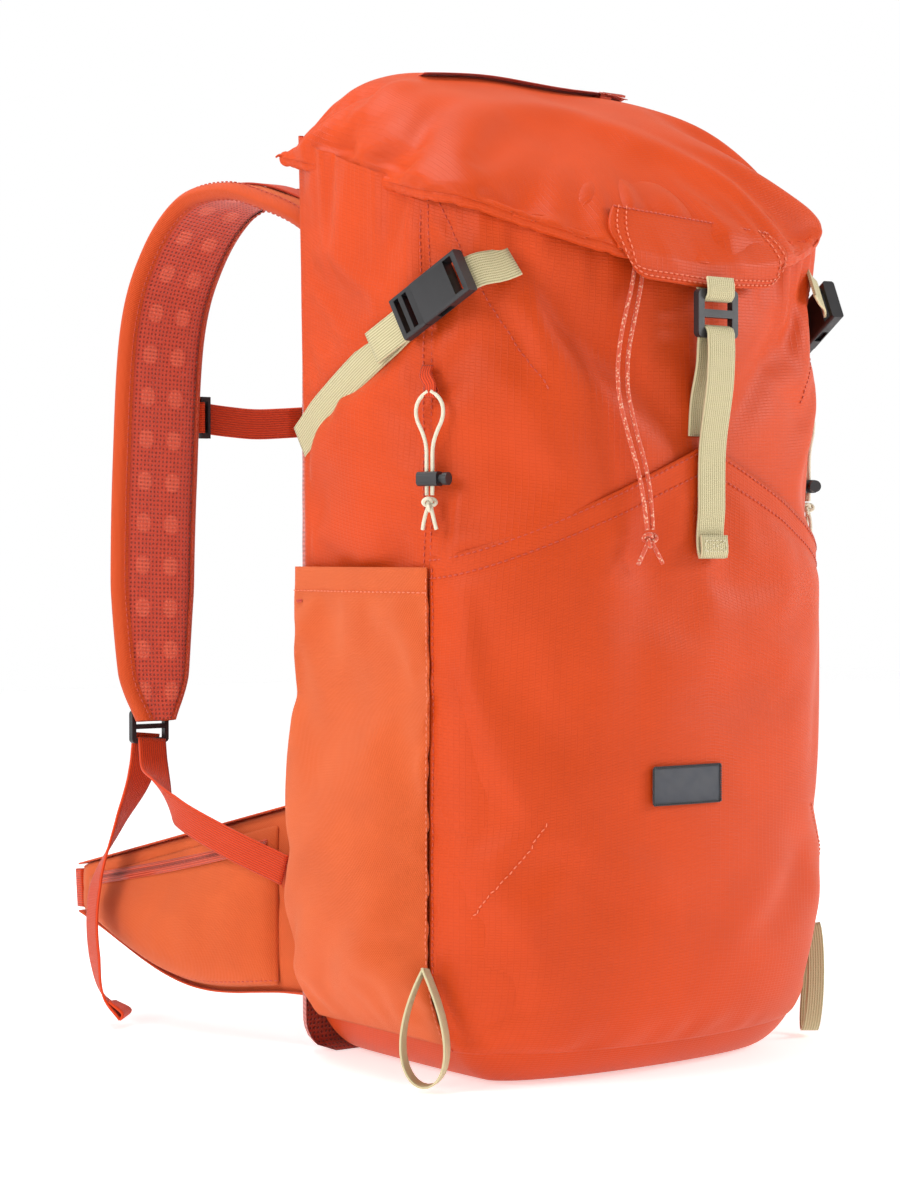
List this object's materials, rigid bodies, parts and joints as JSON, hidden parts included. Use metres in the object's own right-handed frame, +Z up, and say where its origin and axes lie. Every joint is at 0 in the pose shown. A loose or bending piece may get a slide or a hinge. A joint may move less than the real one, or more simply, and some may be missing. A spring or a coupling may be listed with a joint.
{
  "type": "daypack",
  "caption": "Hooded hiking daypack with side and front pockets, buckled compression straps, padded shoulder straps and a hip belt with zipped pockets",
  "frame": {"origin": "middle of the flat base, on the floor, 100 mm in front of the back seam", "axes": "+Z up, +Y towards the wearer, +X towards the wearer's right"},
  "size_m": [0.3834, 0.4698, 0.5889],
  "materials": {
    "ripstop": "ripstop nylon with a light coating",
    "stretch_twill": "matte stretch twill",
    "foam_mesh": "air mesh over closed-cell foam",
    "frame_board": "stiff polyethylene sheet",
    "zip_tape": "coil zip on woven tape",
    "tan_webbing": "tan woven webbing",
    "red_webbing": "orange-red woven webbing",
    "tan_cord": "tan elastic cord",
    "orange_cord": "orange braided cord with light flecks",
    "rope": "dark tubular webbing",
    "slider_metal": "dark painted zinc",
    "moulded_plastic": "moulded acetal, fine spark texture"
  },
  "bodies": {
    "root": {"front_panel": "ripstop", "side_panel_left": "ripstop", "side_panel_right": "ripstop", "base_panel": "ripstop", "collar": "ripstop", "back_panel": "foam_mesh", "frame_sheet": "frame_board", "front_pocket": "ripstop", "side_pocket_left": "stretch_twill", "side_pocket_right": "stretch_twill", "closure_strap": "tan_webbing", "drawcord": "orange_cord", "drawcord_knot": "orange_cord", "compression_socket_left": "moulded_plastic", "compression_strap_left": "tan_webbing", "compression_socket_right": "moulded_plastic", "compression_strap_right": "tan_webbing", "compression_stubs": "tan_webbing", "pole_cord_left": "tan_cord", "pole_cord_right": "tan_cord", "pole_knots": "tan_cord", "strap_webbing_left": "red_webbing", "strap_webbing_right": "red_webbing", "sewn_tabs": "red_webbing", "gear_loops": "tan_webbing"},
    "lid": {"lid": "ripstop", "lid_tongue": "ripstop", "lid_zip": "zip_tape", "lid_loop": "tan_webbing"},
    "haul_loop": {"haul_loop": "rope"},
    "hook": {"lid_hook": "moulded_plastic"},
    "lid_slider": {"lid_zip_slider": "slider_metal"},
    "compression_plug_left": {"compression_plug_left": "moulded_plastic"},
    "cord_lock_left": {"cord_lock_left": "moulded_plastic"},
    "cord_lock_button_left": {"cord_lock_button_left": "moulded_plastic"},
    "shoulder_left": {"shoulder_strap_left": "foam_mesh", "sternum_clip_left": "moulded_plastic", "strap_tail_left": "red_webbing", "sternum_webbing_left": "red_webbing"},
    "ladder_left": {"ladder_lock_left": "moulded_plastic"},
    "wing_left": {"hip_wing_left": "foam_mesh", "hip_pocket_left": "stretch_twill"},
    "belt_left": {"hip_webbing_left": "red_webbing", "hip_plug": "moulded_plastic"},
    "hip_slider_left": {"hip_zip_slider_left": "slider_metal"},
    "compression_plug_right": {"compression_plug_right": "moulded_plastic"},
    "cord_lock_right": {"cord_lock_right": "moulded_plastic"},
    "cord_lock_button_right": {"cord_lock_button_right": "moulded_plastic"},
    "shoulder_right": {"shoulder_strap_right": "foam_mesh", "sternum_clip_right": "moulded_plastic", "strap_tail_right": "red_webbing", "sternum_webbing_right": "red_webbing", "sternum_socket": "moulded_plastic"},
    "ladder_right": {"ladder_lock_right": "moulded_plastic"},
    "wing_right": {"hip_wing_right": "foam_mesh", "hip_pocket_right": "stretch_twill"},
    "belt_right": {"hip_webbing_right": "red_webbing", "hip_socket": "moulded_plastic"},
    "hip_slider_right": {"hip_zip_slider_right": "slider_metal"},
    "sternum_plug": {"sternum_plug": "moulded_plastic"}
  },
  "joints": [
    {"name": "lid_open", "type": "hinge", "parent": "root", "child": "lid", "pos_m": [0, 0.113, 0.536], "axis": [-1, 0, 0], "range_deg": [0, 90], "deforming": ["lid_loop"]},
    {"name": "haul_loop_swing", "type": "hinge", "parent": "root", "child": "haul_loop", "pos_m": [0, 0.1163, 0.525], "axis": [-1, 0, 0], "range_deg": [0, 90]},
    {"name": "hook_swing", "type": "hinge", "parent": "root", "child": "hook", "pos_m": [0, -0.111, 0.42325], "axis": [1, 0, 0], "range_deg": [0, 60], "deforming": ["lid_loop"]},
    {"name": "lid_zip_slide", "type": "slide", "parent": "lid", "child": "lid_slider", "axis": [-1, 0, 0], "range_m": [0, 0.118]},
    {"name": "compression_release_left", "type": "slide", "parent": "root", "child": "compression_plug_left", "axis": [-0.1892, 0.8602, -0.4735], "range_m": [0, 0.025], "deforming": ["compression_strap_left"]},
    {"name": "cord_lock_slide_left", "type": "slide", "parent": "root", "child": "cord_lock_left", "axis": [0, 0, 1], "range_m": [0, 0.01]},
    {"name": "cord_lock_press_left", "type": "slide", "parent": "cord_lock_left", "child": "cord_lock_button_left", "axis": [-0.3697, 0.9292, 0], "range_m": [0, 0.0025], "stiffness_N_per_m": 900, "springref_m": -0.001},
    {"name": "shoulder_swing_left", "type": "hinge", "parent": "root", "child": "shoulder_left", "pos_m": [-0.075, 0.1184, 0.486], "axis": [1, 0, 0], "range_deg": [0, 12], "deforming": ["strap_webbing_left"]},
    {"name": "ladder_tilt_left", "type": "hinge", "parent": "shoulder_left", "child": "ladder_left", "pos_m": [-0.15, 0.2596, 0.198], "axis": [1, 0, 0], "range_deg": [0, 25], "deforming": ["strap_webbing_left", "strap_tail_left"]},
    {"name": "hip_wing_swing_left", "type": "hinge", "parent": "root", "child": "wing_left", "pos_m": [-0.12989, 0.11342, 0.09], "axis": [0, 0, 1], "range_deg": [0, 15]},
    {"name": "hip_belt_turn_left", "type": "hinge", "parent": "wing_left", "child": "belt_left", "pos_m": [-0.164, 0.32057, 0.08], "axis": [0, 0, -1], "range_deg": [0, 15]},
    {"name": "hip_zip_slide_left", "type": "slide", "parent": "wing_left", "child": "hip_slider_left", "axis": [-0.1854, 0.9502, -0.2503], "range_m": [0, 0.1]},
    {"name": "compression_release_right", "type": "slide", "parent": "root", "child": "compression_plug_right", "axis": [0.1892, 0.8602, -0.4735], "range_m": [0, 0.025], "deforming": ["compression_strap_right"]},
    {"name": "cord_lock_slide_right", "type": "slide", "parent": "root", "child": "cord_lock_right", "axis": [0, 0, 1], "range_m": [0, 0.01]},
    {"name": "cord_lock_press_right", "type": "slide", "parent": "cord_lock_right", "child": "cord_lock_button_right", "axis": [0.3697, 0.9292, 0], "range_m": [0, 0.0025], "stiffness_N_per_m": 900, "springref_m": -0.001},
    {"name": "shoulder_swing_right", "type": "hinge", "parent": "root", "child": "shoulder_right", "pos_m": [0.075, 0.1184, 0.486], "axis": [1, 0, 0], "range_deg": [0, 12], "deforming": ["strap_webbing_right"]},
    {"name": "ladder_tilt_right", "type": "hinge", "parent": "shoulder_right", "child": "ladder_right", "pos_m": [0.15, 0.2596, 0.198], "axis": [1, 0, 0], "range_deg": [0, 25], "deforming": ["strap_webbing_right", "strap_tail_right"]},
    {"name": "hip_wing_swing_right", "type": "hinge", "parent": "root", "child": "wing_right", "pos_m": [0.12989, 0.11342, 0.09], "axis": [0, 0, -1], "range_deg": [0, 15]},
    {"name": "hip_belt_turn_right", "type": "hinge", "parent": "wing_right", "child": "belt_right", "pos_m": [0.164, 0.32057, 0.08], "axis": [0, 0, 1], "range_deg": [0, 15]},
    {"name": "hip_zip_slide_right", "type": "slide", "parent": "wing_right", "child": "hip_slider_right", "axis": [0.1854, 0.9502, -0.2503], "range_m": [0, 0.1]},
    {"name": "sternum_release", "type": "slide", "parent": "shoulder_left", "child": "sternum_plug", "axis": [-1, 0, 0], "range_m": [0, 0.025], "deforming": ["sternum_webbing_left"]}
  ],
  "couplings": [
    {"joint": "haul_loop_swing", "follows": "lid_open", "ratio": 1},
    {"joint": "shoulder_swing_right", "follows": "shoulder_swing_left", "ratio": 1},
    {"joint": "hip_wing_swing_right", "follows": "hip_wing_swing_left", "ratio": 1},
    {"joint": "hip_belt_turn_left", "follows": "hip_wing_swing_left", "ratio": 1},
    {"joint": "hip_belt_turn_right", "follows": "hip_wing_swing_left", "ratio": 1}
  ]
}
